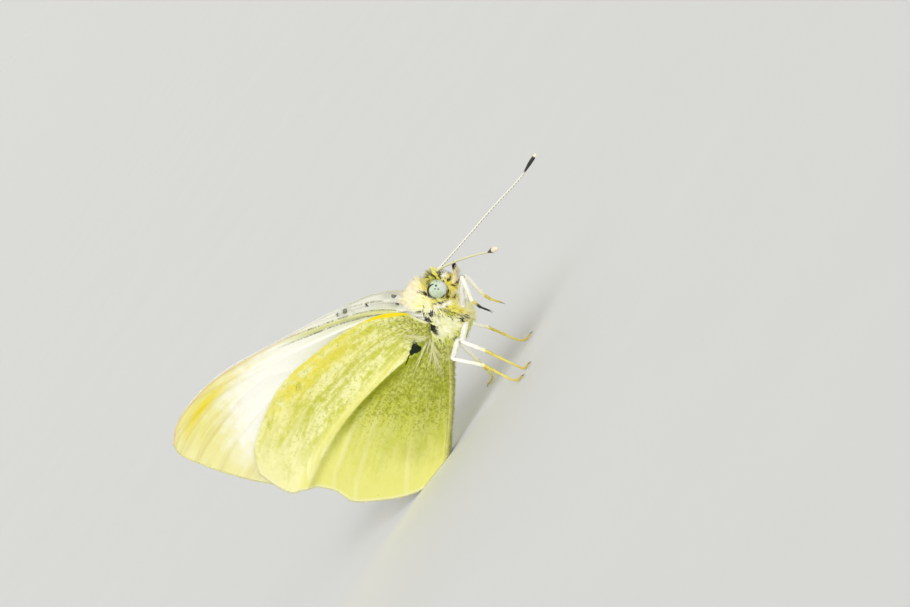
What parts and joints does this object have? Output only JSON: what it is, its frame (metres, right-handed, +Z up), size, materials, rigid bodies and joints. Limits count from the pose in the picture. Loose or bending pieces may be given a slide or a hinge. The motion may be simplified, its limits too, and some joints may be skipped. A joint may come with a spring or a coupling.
{
  "type": "white butterfly",
  "caption": "Small white butterfly at life size, standing on its feet and the lower corners of its closed wings, feelers held forward.",
  "frame": {"origin": "on the floor, under the middle of the bounding box", "axes": "+X forward past the head and along the length, +Y to the butterfly's left, +Z up"},
  "size_m": [0.0382, 0.015, 0.0199],
  "materials": {
    "body_hair": "soft hair",
    "eye": "fine facets, half gloss",
    "feeler_shaft": "fine scales",
    "feeler_club": "fine scales",
    "palp": "bristly",
    "tongue": "smooth horn",
    "forewing": "matt scales",
    "hindwing": "matt scales",
    "thigh": "fine scales",
    "shin": "fine scales",
    "foot": "smooth horn"
  },
  "bodies": {
    "root": {"abdomen": "body_hair", "antenna_left_club": "feeler_club", "antenna_left_shaft": "feeler_shaft", "antenna_right_club": "feeler_club", "antenna_right_shaft": "feeler_shaft", "eye_left": "eye", "eye_right": "eye", "forewing_left": "forewing", "forewing_right": "forewing", "head": "body_hair", "hindwing_left": "hindwing", "hindwing_right": "hindwing", "leg_front_left_femur": "thigh", "leg_front_left_tarsus": "foot", "leg_front_left_tibia": "shin", "leg_front_right_femur": "thigh", "leg_front_right_tarsus": "foot", "leg_front_right_tibia": "shin", "leg_hind_left_femur": "thigh", "leg_hind_left_tarsus": "foot", "leg_hind_left_tibia": "shin", "leg_hind_right_femur": "thigh", "leg_hind_right_tarsus": "foot", "leg_hind_right_tibia": "shin", "leg_mid_left_femur": "thigh", "leg_mid_left_tarsus": "foot", "leg_mid_left_tibia": "shin", "leg_mid_right_femur": "thigh", "leg_mid_right_tarsus": "foot", "leg_mid_right_tibia": "shin", "palp_left": "palp", "palp_right": "palp", "proboscis": "tongue", "thorax": "body_hair"}
  },
  "joints": []
}
